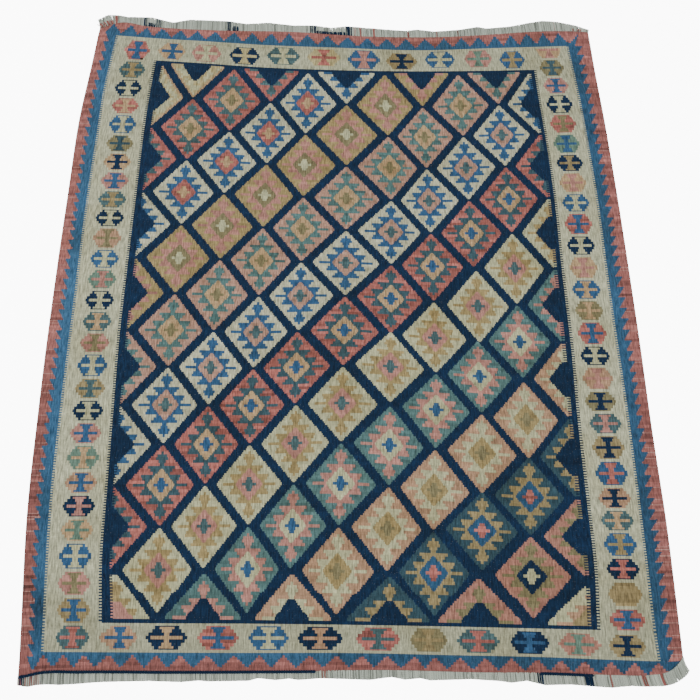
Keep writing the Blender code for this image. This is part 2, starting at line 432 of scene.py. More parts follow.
# The length of one twist of a strand, and how dark and light the twist makes it, as painted shade in its
# grooves and painted highlight on its ridges.
TWIST_PITCH = 3.6
PAINTED_TWIST_SHADES = (0.84, 1.08)

# The sockets of a Mix node for colours: its share, its two colours and its result.
MIX_SHARE, MIX_FIRST, MIX_SECOND, MIX_RESULT = 0, 6, 7, 2

# --- The stage, in metres, degrees and watts ---

# The camera's place over the plan, which is in millimetres, its turn and its lens.
CAMERA_PLACE = (-33.2, -654.3, 1613.9)
CAMERA_TURN = (17.691, -1.331, -0.483)
CAMERA_LENS = 33.43
CAMERA_SENSOR = 36.0

# The paper-white floor gives off a little light of its own.
FLOOR_SIZE = 12.0
FLOOR_GLOW = 9.0

SKY_STRENGTH = 0.66
LIGHT_COLUMNS = ("name", "place", "size", "power")
LIGHTS = (
    ("overhead_light", (0.0, -0.3, 3.2), 4.5, 140.0),
    ("window_side_light", (-2.6, 1.8, 2.2), 2.0, 32.0),
)

# --- Colours and sizes that a user would change ---

# Each colour in sRGB, and where it shows.
COLOURS = (
    ("navy", "0d2239", "Field, lattice bands and some hexagons"),
    ("border_cream", "9a9b81", "Ground of the wide border"),
    ("guard_blue", "2d4e69", "Inner half of the saw-toothed guard"),
    ("guard_red", "82534e", "Outer half of the saw-toothed guard"),
    ("guard_pink", "9c756d", "Pale picks among the guard's red"),
    ("cream", "989878", "Light diamonds"),
    ("cool_cream", "9e9e85", "Light diamonds with blue figures"),
    ("blue", "2a4a69", "Blue figures and hexagons"),
    ("deep_blue", "274660", "Blue centres of the blue-grey diamonds"),
    ("red", "8a544d", "Red diamonds and figures"),
    ("rose", "8a6255", "Dusty red diamonds"),
    ("pink", "92695f", "Pink figures and hexagons"),
    ("salmon", "90735b", "Light orange-pink diamonds"),
    ("dusty_salmon", "927363", "Salmon diamonds nearer the far left corner"),
    ("tan", "967e5e", "Tan figures and hexagons"),
    ("sand", "928862", "Odd picks in the plain cream diamonds"),
    ("ochre", "7b6e4e", "Ochre diamonds and figures"),
    ("light_ochre", "83744f", "Lightest ochre diamonds and figures"),
    ("olive", "696348", "Olive figures and hexagons"),
    ("sage", "546b5e", "Pale green figures"),
    ("teal", "3b5154", "Green-blue diamonds and figures"),
    ("light_teal", "435e5d", "Streaky green-blue diamonds and figures"),
    ("dark_teal", "31474e", "Figures on the darkest red diamonds"),
    ("slate", "293f48", "Blue-grey diamonds"),
    ("warp", "a1a89c", "Undyed warp ends of the fringes"),
    ("floor", "f4f4f4", "Pale studio floor"),
)
YARNS = tuple(name for name, _, _ in COLOURS if name not in ("warp", "floor"))
NUMBER = {name: number for number, name in enumerate(YARNS)}


def linear(code):
    """An sRGB hex colour as linear red, green and blue."""
    shades = [int(code[at : at + 2], 16) / 255 for at in (0, 2, 4)]
    return tuple(s / 12.92 if s <= 0.04045 else ((s + 0.055) / 1.055) ** 2.4 for s in shades)


def colour_property(name, code, description):
    """A colour property, labelled with its own name."""
    return bpy.props.FloatVectorProperty(
        name=name.replace("_", " ").capitalize(), description=description, subtype="COLOR", size=3,
        min=0.0, max=1.0, default=linear(code),
    )


class KilimYarns(bpy.types.PropertyGroup):
    """The colour of each yarn in the rug, and of the floor."""

    __annotations__ = {name: colour_property(name, code, where) for name, code, where in COLOURS}


def length_property(name, millimetres, description):
    """A length property, given in millimetres."""
    return bpy.props.FloatProperty(
        name=name, description=description, unit="LENGTH", min=0.0, default=millimetres * MM, precision=4
    )


def count_property(name, count, description):
    """A property for a number of things, at least one."""
    return bpy.props.IntProperty(name=name, description=description, default=count, min=1)


class KilimSizes(bpy.types.PropertyGroup):
    """The sizes of the cloth's thickness, relief and fringes."""

    thickness: length_property("Thickness", 2.4, "Thickness of the woven cloth")
    ripple: length_property("Ripple", 2.2, "Height of the slow waves, as cloth is never quite flat")
    strand_radius: length_property("Strand radius", 1.45, "Radius of a fringe strand at its root")
    twine_radius: length_property("Twine radius", 1.8, "Radius of each of the two twined yarns")
    twine_pitch: length_property("Twine pitch", 11.0, "Length of one turn of the twined yarns")
    strands: count_property("Strands", 1900, "Strands in each fringe")
    strips: count_property("Strips", 4, "Meshes that the cloth is cut into")


# --- Drawing the draft ---


def band_places(bands):
    """Where each named band starts and stops, counted in cells, and how many cells there are."""
    places, at = {}, 0
    for name, count in bands:
        places[name] = (at, at + count)
        at += count
    return places, at


BAND_ROWS, ROWS = band_places(WEFT_BANDS)
BAND_WARPS, WARPS = band_places(WARP_BANDS)


def between(knots, at):
    """Values at some places, straight between the places and values of a short table."""
    place, value = np.array(knots, float).T
    return np.interp(at, place, value)


def counted(knots, count):
    """Places for a number of like figures, evenly spaced between the few that are given."""
    return between(knots, np.arange(count))


def within(across, along, half_widths):
    """The cells of a stepped figure: those nearer its middle warp than the half-width of their row."""
    widths = np.zeros(ROWS + 1)
    widths[: len(half_widths)] = half_widths
    return np.abs(across) < widths[np.minimum(np.abs(along).astype(int), ROWS)]


def draw_stepped(drawing, area, across, along, half_widths, name):
    """A stepped figure in one yarn, with the further steps of its edge as shared cells."""
    yarn, neighbour, share = drawing
    whole = area & within(across, along, half_widths)
    odd = np.abs(along) % 2 == 1
    outside = np.maximum(np.abs(across) - np.where(odd, ODD_STEP[0], EVEN_STEP[0]), 0)
    step = area & ~whole & (along != 0) & within(outside, along, half_widths)
    yarn[whole] = NUMBER[name]
    share[whole] = 0.0
    neighbour[step] = NUMBER[name]
    part = -np.sign(along) * np.where(odd, ODD_STEP[1], EVEN_STEP[1])
    share[step] = np.broadcast_to(part, share.shape)[step]


def draw_plain(drawing, area, name):
    """Cells of one yarn that aren't shared."""
    yarn, _, share = drawing
    yarn[area] = NUMBER[name]
    share[area] = 0.0


def draw_diamonds(drawing, row, warp, rng):
    """The field's lattice: full diamonds, and cut ones round its edge with a navy notch.

    The first diagonal has no figure. It is cream with a tan edge, and odd picks of sand in it. A diamond
    that a side cuts through keeps its full height up to the field's edge.
    """
    (near, far), (left, right) = BAND_ROWS["field"], BAND_WARPS["field"]
    field = (row >= near) & (row < far) & (warp > left) & (warp < right)
    odd_picks = rng.random((ROWS, WARPS // ODD_PICK_WARPS + 1)) < ODD_PICK_SHARE
    odd_picks = np.repeat(odd_picks, ODD_PICK_WARPS, axis=1)[:, :WARPS]
    for down in range(STEPS_ALONG + 1):
        for over in range((down + 1) % 2, STEPS_ACROSS + 1, 2):
            warps_off, rows_off = NUDGES.get((down, over), (0, 0))
            across = warp - (left + LATTICE_WARPS * over + warps_off)
            along = row - (near + LATTICE_ROWS * (STEPS_ALONG - down) + rows_off)
            diagonal = (over + down - 1) // 2
            side_cut = over in (0, STEPS_ACROSS)
            near_cut = down == STEPS_ALONG
            wide = near_cut and over > 0
            if down == STEPS_ALONG - 1:
                along = along - (along < NEAR_SHORTENED)
            if side_cut:
                inwards = 1 if over == 0 else -1
                across = inwards * np.maximum(inwards * across, 0.5)
            if diagonal == 0:
                draw_stepped(drawing, field, across, along, GROUND, "tan")
                inside = field & within(across, along, GROUND[1:])
                draw_plain(drawing, inside, "cream")
                draw_plain(drawing, inside & odd_picks, "sand")
            else:
                yarns = dict(zip(DIAMOND_COLUMNS, DIAMONDS[diagonal - 1].split()))
                figure = NEAR_FIGURE if wide else FIGURE
                draw_stepped(drawing, field, across, along, NEAR_GROUND if wide else GROUND, yarns["ground"])
                draw_plain(drawing, field & within(across, along, figure), yarns["figure"])
                draw_stepped(drawing, field, across, along, INNER, yarns["inner"])
                draw_plain(drawing, field & within(across, along, CENTRE), yarns["centre"])
            if near_cut:
                name = yarns["inner"] if side_cut else "navy"
                draw_stepped(drawing, field, across, along, NEAR_NOTCH, name)
            elif side_cut or down == 0:
                draw_stepped(drawing, field, across, along, NOTCH, "navy")


def hexagons():
    """Every whole hexagon of the border, laid out in the columns of the half one."""
    made = [(*each, *rows) for rows, along_row in END_HEXAGONS.items() for each in along_row]
    for names, half_width, gaps, warps in SIDE_HEXAGONS:
        names = names.split()
        empty = np.round(counted(gaps, len(names) + 1)).astype(int)
        middles = np.round(counted(warps, len(names)))
        for yarns, warp, low, high in zip(names, middles, empty[:-1], empty[1:]):
            made.append((yarns, warp, half_width, low + 1, high))
    return made


def draw_hexagon(drawing, across, along, half, half_width, yarns):
    """One hexagon and the cross in it, both straight-sided from the middle to half its height away.

    The cross's bar fills the middle row, or the inner parts of the two rows that meet in the middle. A thin
    line of the hexagon's yarn runs across both ends of the cross.
    """
    yarn, neighbour, share = drawing
    size = {name: part * half_width for name, part in HEXAGON_SHARES.items()}
    away = np.abs(along)
    in_middle, next_to_middle = away == 0.0, away == 0.5
    reach = np.interp(away, [0.5, half - 0.5], [half_width - POINT_WARPS, size["end"]])
    reach = np.where(in_middle | next_to_middle, half_width, reach)
    arm = np.interp(away, [1.0, half - 0.5], [size["neck"], size["arm"]])
    arm = np.where(in_middle, size["bar"], arm)
    ground, figure = (NUMBER[name] for name in yarns.split("/"))
    rows = away < half
    yarn[rows & (across < reach)] = ground
    cross = rows & (across < arm)
    yarn[cross] = figure
    side = np.broadcast_to(np.sign(along), share.shape)
    ends = cross & (away > half - 1) & ~in_middle
    neighbour[ends] = ground
    share[ends] = side[ends] * END_LINE
    thick = half > HIGH_HEXAGON
    beside_bar = next_to_middle | ((away == 1.0) & thick)
    part = np.where(next_to_middle, THICK_BAR if thick else 0.5, THICK_BAR - 0.5)
    half_bar = beside_bar & (across < size["bar"]) & ~cross & (yarn == ground)
    neighbour[half_bar] = figure
    share[half_bar] = (side * -np.broadcast_to(part, share.shape))[half_bar]


def draw_hexagons(drawing, row, warp):
    """The border's hexagons, and the half one, whose middle row is its last."""
    for yarns, middle_warp, half_width, low, high in hexagons():
        along = row - (low + high - 1) / 2
        draw_hexagon(drawing, np.abs(warp - middle_warp), along, (high - low) / 2, half_width, yarns)
    yarns, middle_warp, half_width, low, high = HALF_HEXAGON
    along = np.where(row < high, row - (high - 1), ROWS)
    draw_hexagon(drawing, np.abs(warp - middle_warp), along, high - low, half_width, yarns)


def zigzag(warp, tip_row, valley_rows, tips):
    """The row of a zigzag edge at each warp: straight from each tip to the valley midway to the next."""
    tips = counted(tips, tips[-1][0] + 1)
    valleys = (tips[:-1] + tips[1:]) / 2
    valleys = np.concatenate([[2 * tips[0] - valleys[0]], valleys, [2 * tips[-1] - valleys[-1]]])
    places = np.concatenate([tips, valleys])
    rows = np.concatenate([np.full(len(tips), tip_row), between(valley_rows, valleys)])
    order = np.argsort(places)
    return np.interp(warp, places[order], rows[order])


def tooth_widths(row, widths, flat_edges):
    """How far the red of a side reaches in from the selvedge, in warps, at each row."""
    edges = counted(flat_edges, flat_edges[-1][0] + 1)
    tooth = np.clip(np.searchsorted(edges, row, side="right") - 1, 0, len(edges) - 2)
    share = (row - edges[tooth]) / (edges[tooth + 1] - edges[tooth])
    wide, narrow = widths
    return np.where(row < edges[0], 0.0, wide + (narrow - wide) * np.clip(share, 0.0, 1.0))


def draw_guards(rng):
    """The guard bands pick by pick: red outside the teeth and the zigzags, and blue inside them."""
    row = (np.arange(ROWS * PICKS)[:, None] + 0.5) / PICKS
    warp = np.arange(WARPS)[None, :] + 0.5
    left, right = (tooth_widths(row, *TEETH[side]) for side in ("left", "right"))
    left = np.where(row > LEFT_CORNER_STEPS[0][0], between(LEFT_CORNER_STEPS, row), left)
    sides = (warp < left) | (WARPS - warp < right)
    step = (np.arange(WARPS) // STEP_WARPS)[None, :] * STEP_WARPS + STEP_WARPS / 2
    near_edge, far_edge = (zigzag(step, *ZIGZAGS[end]) for end in ("near", "far"))
    far_tips = ZIGZAGS["far"][-1]
    first, last = far_tips[0][1], far_tips[-1][1]
    ends = (row < near_edge) | ((row > far_edge) & (warp > first) & (warp < last))
    guard = np.where(sides | ends, NUMBER["guard_red"], NUMBER["guard_blue"])
    edge_pick = np.isin(np.arange(ROWS * PICKS) % PICKS, (0, PICKS - 1))[:, None]
    before_far_end = row < BAND_ROWS["far_guard"][0]
    for side in (warp < WARPS / 2, warp > WARPS / 2):
        pale = rng.random(row.shape) < between(PALE_PICKS, row)
        guard[pale & edge_pick & side & sides & before_far_end] = NUMBER["guard_pink"]
    return guard


def folded(fine):
    """Picks gathered into rows: each cell's main yarn, the other yarn in it, and what share that one has.

    The share counts from the far edge of the cell, or below 0 from the near edge.
    """
    parts = fine.reshape(ROWS, PICKS, WARPS)
    main = np.median(parts, axis=1).astype(int)
    first, last = parts[:, 0], parts[:, -1]
    other = np.where(first != main, first, last)
    share = np.sum(parts != main[:, None], axis=1) / PICKS
    share = np.where(first != main, -share, np.where(last != main, share, 0.0))
    return main, np.where(share == 0.0, main, other), share


def dovetail(yarn, edges):
    """Dovetails the yarns that meet at upright edges, and gives the yarn that shares each cell.

    An edge is a warp, the first of the warps that both yarns cross, and the rows in which it runs.
    """
    for edge, first, rows in edges:
        yarn[rows, first:edge] = yarn[rows, edge][:, None]
    shared = yarn.copy()
    for _, first, rows in edges:
        shared[rows, first : first + DOVETAIL_WARPS] = yarn[rows, first - 1][:, None]
    return shared


def ring_rows(band):
    """The rows from the near to the far band of a pair that goes round the field."""
    return slice(BAND_ROWS["near_" + band][0], BAND_ROWS["far_" + band][1])


def draft(rng):
    """The whole draft: for each row and warp the yarn's number, the yarn that shares the cell and how.

    The third array says what share of the cell the other yarn has, from the cell's far edge or, below 0,
    from its near edge. At 0 it has every second pick, as where two yarns are dovetailed.
    """
    row = np.arange(ROWS)[:, None]
    warp = np.arange(WARPS)[None, :] + 0.5
    yarn, guard_neighbour, guard_share = folded(draw_guards(rng))
    guard = yarn.copy()
    for band, name in (("border", "border_cream"), ("frame", "navy")):
        yarn[ring_rows(band), BAND_WARPS["left_" + band][0] : BAND_WARPS["right_" + band][1]] = NUMBER[name]
    field_neighbour, field_share = yarn.copy(), np.zeros(yarn.shape)
    draw_diamonds((yarn, field_neighbour, field_share), row, warp, rng)
    edges = [(edge, edge, slice(*BAND_ROWS["field"])) for edge in BAND_WARPS["field"]]
    for band in ("frame", "border"):
        ends = BAND_WARPS["left_" + band][0], BAND_WARPS["right_" + band][1]
        edges += [(edge, edge - 1, ring_rows(band)) for edge in ends]
    neighbour = dovetail(yarn, edges)
    outside = (guard_share != 0.0) & (yarn == guard)
    neighbour[outside] = guard_neighbour[outside]
    share = np.where(outside, guard_share, 0.0)
    stepped = field_share != 0.0
    neighbour[stepped] = field_neighbour[stepped]
    share[stepped] = field_share[stepped]
    drawn = yarn.copy()
    draw_hexagons((drawn, neighbour, share), row, warp)
    changed = (drawn != yarn) & (share == 0.0)
    neighbour[changed] = drawn[changed]
    return drawn, neighbour, share


def by_yarn(table, usual):
    """A number for each yarn, from a table of those that aren't usual."""
    return np.array([table.get(name, usual) for name in YARNS])


def pick_shades(yarn, rng):
    """How far each cell strays from its yarn's shade, alike along a row until the yarn changes."""
    change = np.ones(yarn.shape, bool)
    change[:, 1:] = yarn[:, 1:] != yarn[:, :-1]
    pick = np.cumsum(change.ravel()) - 1
    picks = rng.normal(0.0, 1.0, pick[-1] + 1)[pick].reshape(yarn.shape)
    return picks * by_yarn(PICK_SPREAD, USUAL_PICK_SPREAD)[yarn]


def lot_and_painted_shades(rng):
    """How light each yarn is by row and warp: a random drift, the dye lots that show and painted shade."""
    lots = rng.normal(0.0, 1.0, (len(YARNS), ROWS // LOT_ROWS + 2))
    places = np.arange(ROWS) / LOT_ROWS
    drift = np.array([np.interp(places, np.arange(len(lot)), lot) for lot in lots])
    drift *= by_yarn(LOT_SPREAD, USUAL_LOT_SPREAD)[:, None]
    shades = np.repeat(1.0 + drift[:, :, None], WARPS, axis=2)
    right_half = np.arange(WARPS) > WARPS / 2
    for name, known in DYE_LOTS_AND_PAINTED_SHADE.items():
        rows, left, right = np.array(known, float).T
        halves = [np.interp(np.arange(ROWS), rows, light)[:, None] for light in (right, left)]
        shades[NUMBER[name]] *= np.where(right_half, *halves)
    return shades


# --- Working out the lay ---


def column(names, table, name):
    """One named column of a table."""
    return np.array([line[names.index(name)] for line in table], float)


def smooth(at, knots, values):
    """A curve through a table's points: cubics between them, with slopes taken from their neighbours."""
    slope = np.gradient(values, knots)
    low = np.clip(np.searchsorted(knots, at) - 1, 0, len(knots) - 2)
    step = knots[low + 1] - knots[low]
    t = (at - knots[low]) / step
    rise = 3 * t**2 - 2 * t**3
    start = (t**3 - 2 * t**2 + t) * step * slope[low]
    finish = (t**3 - t**2) * step * slope[low + 1]
    return (1 - rise) * values[low] + rise * values[low + 1] + start + finish


def side_x(side, share):
    """How far across a selvedge lies, at a share of the rug's length."""
    return smooth(share, column(SIDE_COLUMNS, SIDES, "share"), column(SIDE_COLUMNS, SIDES, side))


def end_y(end, across):
    """How far along a woven end lies, at a place across."""
    return smooth(across, column(END_COLUMNS, ENDS, "across"), column(END_COLUMNS, ENDS, end))


def warp_paths(along):
    """How far across each warp lies at places along: smooth in each line given, even between them."""
    near, far = end_y("near", 0.0), end_y("far", 0.0)
    share = np.clip((along - near) / (far - near), 0.0, 1.0)
    stations, *lines = np.array(WARP_LINES, float).T
    places = [smooth(along, stations, line) for line in lines]
    places = np.stack([side_x("left", share), *places, side_x("right", share)], axis=1)
    counts = (0, *WARP_COLUMNS[1:], WARPS)
    return np.stack([np.interp(np.arange(WARPS + 1), counts, row) for row in places])


def lay():
    """The places of all crossings of cell edges, as X and Y in millimetres, by row and warp."""
    rows = np.arange(ROWS + 1)
    counts = np.concatenate([[0], column(WEFT_COLUMNS, WEFT_LINES, "row"), [ROWS]])
    stations = np.array(WEFT_COLUMNS[1:], float)
    middle = [end_y("near", 0.0), *column(WEFT_COLUMNS, WEFT_LINES, 0), end_y("far", 0.0)]
    x = warp_paths(np.interp(rows, counts, middle))
    lines = [end_y("near", x[0])]
    for row, *along in WEFT_LINES:
        across = np.clip(x[round(row)], stations[0], stations[-1])
        lines.append(smooth(across, stations, np.array(along, float)))
    lines = np.array([*lines, end_y("far", x[-1])])
    y = np.stack([np.interp(rows, counts, line) for line in lines.T], axis=1)
    return x, y


def ripple_height(x, y):
    """How far the cloth stands off the floor, from 0 to 1, by its slow waves."""
    waves = sum(np.sin(x / across + y / along + start) for across, along, start in WAVES)
    return 0.5 + waves / (2 * len(WAVES))


def plan_shift():
    """What moves the rug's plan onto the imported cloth, in metres."""
    low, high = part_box("kilim_cloth")
    x, y = lay()
    return (low[0] + high[0]) / 2 - (x.min() + x.max()) / 2 * MM, high[1] - y.max() * MM


# --- Making meshes and materials ---


def new_piece(name, points, faces, material):
    """A mesh object at the origin from arrays of points and faces."""
    mesh = bpy.data.meshes.new(name)
    mesh.from_pydata(points, [], faces)
    mesh.materials.append(material)
    piece = bpy.data.objects.new(name, mesh)
    bpy.context.scene.collection.objects.link(piece)
    return piece


def set_face_colours(mesh, name, colours):
    """A colour for each face, as a named attribute."""
    layer = mesh.attributes.new(name, "FLOAT_COLOR", "FACE")
    layer.data.foreach_set("color", np.column_stack([colours, np.ones(len(colours))]).ravel())


def set_point_map(mesh, name, points):
    """A UV map from two numbers for each point."""
    corner = np.empty(len(mesh.loops), int)
    mesh.loops.foreach_get("vertex_index", corner)
    layer = mesh.uv_layers.new(name=name)
    layer.data.foreach_set("uv", points[corner].ravel())


def grid_faces(rows, columns):
    """The quads of a grid of points, facing up, as corner numbers."""
    corner = np.arange((rows + 1) * (columns + 1)).reshape(rows + 1, columns + 1)
    corners = (corner[:-1, :-1], corner[:-1, 1:], corner[1:, 1:], corner[1:, :-1])
    return np.stack(corners, axis=-1).reshape(-1, 4)


def add_node(tree, kind, *ordered, inputs=None, **settings):
    """The outputs of a new shader node with its settings.

    Its inputs are given in their order or by name, each as a value or as the socket that is linked into it.
    """
    made = tree.nodes.new("ShaderNode" + kind)
    for name, setting in settings.items():
        setattr(made, name, setting)
    for key, source in {**dict(enumerate(ordered)), **(inputs or {})}.items():
        if isinstance(source, bpy.types.NodeSocket):
            tree.links.new(source, made.inputs[key])
        else:
            made.inputs[key].default_value = source
    return made.outputs


def new_material(name, values):
    """A node material with some values of its shader, and its tree and its shader."""
    material = bpy.data.materials.new(name)
    material.use_nodes = True
    shader = material.node_tree.nodes["Principled BSDF"]
    for key, value in values.items():
        shader.inputs[key].default_value = value
    return material, material.node_tree, shader


def yarn_cells(tree):
    """The colour of the yarn at a point: the cell's own, or that of the yarn which shares the cell.

    The other yarn has every second pick of a dovetailed cell, and a thin line along one edge of a lined
    one.
    """
    weave = add_node(tree, "UVMap", uv_map="weave")["UV"]
    along = add_node(tree, "SeparateXYZ", weave)["Y"]
    line = add_node(tree, "Attribute", attribute_name="line")["Fac"]
    picks = add_node(tree, "Math", along, 1 / (DOVETAIL_PITCH * MM), operation="MULTIPLY")[0]
    in_pick = add_node(tree, "Math", picks, operation="FRACT")[0]
    second_pick = add_node(tree, "Math", in_pick, 0.5, operation="GREATER_THAN")[0]
    rows = add_node(tree, "Math", along, 1 / (ROW_HEIGHT * MM), operation="MULTIPLY")[0]
    in_row = add_node(tree, "Math", rows, operation="FRACT")[0]
    size = add_node(tree, "Math", line, operation="ABSOLUTE")[0]
    not_lined = add_node(tree, "Math", size, LEAST_LINE, operation="LESS_THAN")[0]
    from_middle = add_node(tree, "Math", in_row, 0.5, operation="SUBTRACT")[0]
    edge = add_node(tree, "Math", line, operation="SIGN")[0]
    side = add_node(tree, "Math", from_middle, edge, operation="MULTIPLY")[0]
    reach = add_node(tree, "Math", side, size, operation="ADD")[0]
    on_line = add_node(tree, "Math", reach, 0.5, operation="GREATER_THAN")[0]
    dovetailed = add_node(tree, "Math", second_pick, not_lined, operation="MULTIPLY")[0]
    other_there = add_node(tree, "Math", dovetailed, on_line, operation="ADD")[0]
    own = add_node(tree, "Attribute", attribute_name="yarn")["Color"]
    other = add_node(tree, "Attribute", attribute_name="neighbour_yarn")["Color"]
    mix = {MIX_SHARE: other_there, MIX_FIRST: own, MIX_SECOND: other}
    return add_node(tree, "Mix", inputs=mix, data_type="RGBA")[MIX_RESULT]


def cloth_noise(tree, width, height, detail, span, result):
    """Noise laid on the weave: as it is, and moved into the range of its effect."""
    weave = add_node(tree, "UVMap", uv_map="weave")["UV"]
    scale = (1 / (width * MM), 1 / (height * MM), 1.0)
    placed = add_node(tree, "Mapping", inputs={"Vector": weave, "Scale": scale})[0]
    noise = add_node(tree, "TexNoise", inputs={"Vector": placed, "Scale": 1.0, "Detail": detail})[0]
    return noise, add_node(tree, "MapRange", noise, *span, *result)[0]


def woven_wool():
    """Weft-faced wool: dull matt yarn beaten over the warps, so that ribs run along the rug.

    Every rib is a little lighter or darker than the next and changes along its length, partly as random tone
    and partly as painted highlight on the rib tops and painted shade in the grooves. Streaks across the rug
    lighten and darken the yarn as uneven hand dye does. Broad stains grey it and worn specks let the pale
    warp through. The ribs and the streaks also give the relief.
    """
    material, tree, shader = new_material("weft-faced wool", {"Roughness": 0.92, "Specular IOR Level": 0.15})
    noise, effect = {}, {}
    for name, settings in NOISES.items():
        noise[name], effect[name] = cloth_noise(tree, *settings)
    # The ribs' part of this shade is partly painted highlight on the rib tops and painted shade in the
    # grooves.
    shade = add_node(tree, "Math", effect["streaks"], effect["ribs"], operation="MULTIPLY")[0]
    shade = add_node(tree, "Math", shade, effect["fuzz"], operation="MULTIPLY")[0]
    shaded = {"Vector": yarn_cells(tree), "Scale": shade}
    colour = add_node(tree, "VectorMath", inputs=shaded, operation="SCALE")[0]
    for name, blend_type, second in (("stain", "MULTIPLY", STAIN), ("speck", "MIX", linear(WORN))):
        mix = {MIX_SHARE: effect[name], MIX_FIRST: colour, MIX_SECOND: (*second, 1.0)}
        colour = add_node(tree, "Mix", inputs=mix, data_type="RGBA", blend_type=blend_type)[MIX_RESULT]
    tree.links.new(colour, shader.inputs["Base Color"])
    height = add_node(tree, "Math", noise["ribs"], noise["streaks"], operation="ADD")[0]
    relief = {"Height": height, "Strength": RELIEF_STRENGTH, "Distance": RELIEF * MM}
    tree.links.new(add_node(tree, "Bump", inputs=relief)[0], shader.inputs["Normal"])
    return material


def spun_yarn(name):
    """Spun yarn, matt and slightly hairy, its twist's slant in painted shade. Each strand has its own shade.
    """
    material, tree, shader = new_material(name, {"Roughness": 0.95, "Specular IOR Level": 0.12})
    split = add_node(tree, "SeparateXYZ", add_node(tree, "UVMap", uv_map="strand")["UV"])
    along = add_node(tree, "Math", split["Y"], math.tau / (TWIST_PITCH * MM), operation="MULTIPLY")[0]
    around = add_node(tree, "Math", split["X"], math.tau, operation="MULTIPLY")[0]
    turn = add_node(tree, "Math", around, along, operation="ADD")[0]
    twist = add_node(tree, "Math", turn, operation="SINE")[0]
    # Painted shade in the twist's grooves and painted highlight on its ridges.
    shade = add_node(tree, "MapRange", twist, -1.0, 1.0, *PAINTED_TWIST_SHADES)[0]
    shaded = {"Vector": add_node(tree, "Attribute", attribute_name="yarn")["Color"], "Scale": shade}
    colour = add_node(tree, "VectorMath", inputs=shaded, operation="SCALE")[0]
    tree.links.new(colour, shader.inputs["Base Color"])
    return material


def yarn_palette():
    """The yarn colours in the order of their numbers, as linear red, green and blue."""
    yarns = bpy.context.scene.kilim_yarns
    return np.array([tuple(getattr(yarns, name)) for name in YARNS])


# --- The pieces ---


class KILIM_OT_weave_cloth(bpy.types.Operator):
    """Weaves the cloth cell by cell, as a few strips of mesh that lie side by side along the warps"""

    bl_idname = "kilim.weave_cloth"
    bl_label = "Weave Cloth"

    def execute(self, context):
        sizes = context.scene.kilim_sizes
        rng = np.random.default_rng(SEED)
        yarn, neighbour, line = draft(rng)
        palette = yarn_palette()
        picks, lots = pick_shades(yarn, rng), lot_and_painted_shades(rng)
        cell = np.indices(yarn.shape)
        neighbour_picks = np.where(neighbour == yarn, picks, 0.0)
        # The lots carry painted shade in the border's cream, darker towards both ends.
        colours = {
            "yarn": palette[yarn] * (lots[(yarn, *cell)] + picks)[..., None],
            "neighbour_yarn": palette[neighbour] * (lots[(neighbour, *cell)] + neighbour_picks)[..., None],
        }
        x, y = lay()
        shift_x, shift_y = plan_shift()
        height = sizes.thickness + sizes.ripple * ripple_height(x, y)
        points = np.stack([x * MM + shift_x, y * MM + shift_y, height], axis=-1)
        material = woven_wool()
        edges = np.linspace(0, WARPS, sizes.strips + 1).round().astype(int)
        for number, (first, last) in enumerate(zip(edges[:-1], edges[1:]), 1):
            strip = points[:, first : last + 1]
            faces = grid_faces(ROWS, last - first)
            piece = new_piece(f"kilim_cloth_{number}", strip.reshape(-1, 3), faces, material)
            for name, cells in colours.items():
                set_face_colours(piece.data, name, cells[:, first:last].reshape(-1, 3))
            lined = piece.data.attributes.new("line", "FLOAT", "FACE")
            lined.data.foreach_set("value", line[:, first:last].ravel())
            row, warp = np.mgrid[0 : ROWS + 1, first : last + 1].reshape(2, -1)
            weave = np.column_stack([warp * WARP_WIDTH * MM, row * ROW_HEIGHT * MM])
            set_point_map(piece.data, "weave", weave)
            bake = np.column_stack([(warp - first) / (last - first), row / ROWS])
            set_point_map(piece.data, "OFBake", bake)
            wall = piece.modifiers.new("Thickness", "SOLIDIFY")
            wall.thickness = sizes.thickness
            wall.offset = -1.0
            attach(piece, "root")
            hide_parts("kilim_cloth")
        return {"FINISHED"}


def strand_faces(strands, rings, sides):
    """The faces of many closed tubes alike, each with a cap at both ends, as corner numbers."""
    ring, side = np.meshgrid(np.arange(rings - 1) * sides, np.arange(sides), indexing="ij")
    after = (side + 1) % sides
    corners = (ring + side, ring + after, ring + sides + after, ring + sides + side)
    wall = np.stack(corners, axis=-1).reshape(-1, 4)
    ends = np.stack([np.arange(sides)[::-1], np.arange(sides) + (rings - 1) * sides])
    offsets = np.arange(strands)[:, None, None] * rings * sides
    walls = (wall[None] + offsets).reshape(-1, 4)
    caps = (ends[None] + offsets).reshape(-1, sides)
    return walls.tolist() + caps.tolist()


